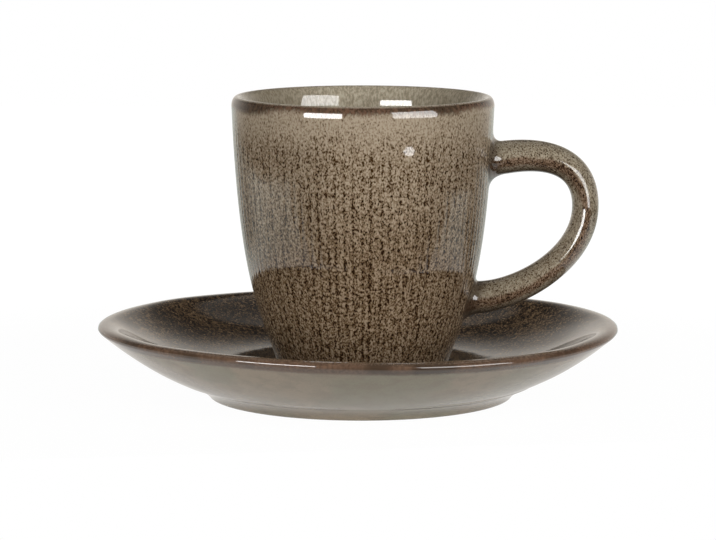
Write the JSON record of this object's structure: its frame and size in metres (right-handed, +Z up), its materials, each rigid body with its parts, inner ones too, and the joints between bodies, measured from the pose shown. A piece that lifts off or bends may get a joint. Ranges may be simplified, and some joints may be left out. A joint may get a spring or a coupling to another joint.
{
  "type": "cup with saucer",
  "caption": "Tapered stoneware coffee cup with a loop handle, standing on a wide shallow saucer that it lifts off.",
  "frame": {"origin": "on the table, under the middle of the saucer", "axes": "+Z up, +X from the middle of the cup towards its handle, +Y to the left of the handle seen from above"},
  "size_m": [0.1294, 0.1294, 0.0748],
  "materials": {
    "saucer_glaze": "glossy taupe glaze with a brown edge line",
    "cup_glaze": "glossy taupe glaze over fine combed lines with dark brown speckles",
    "handle_glaze": "glossy taupe glaze with dark brown speckles, brown in the creases"
  },
  "bodies": {
    "saucer": {"saucer": "saucer_glaze"},
    "cup": {"cup_body": "cup_glaze", "cup_handle": "handle_glaze"}
  },
  "joints": [
    {"name": "cup_lift", "type": "slide", "parent": "saucer", "child": "cup", "axis": [0, 0, 1], "range_m": [0, 0.1]}
  ]
}
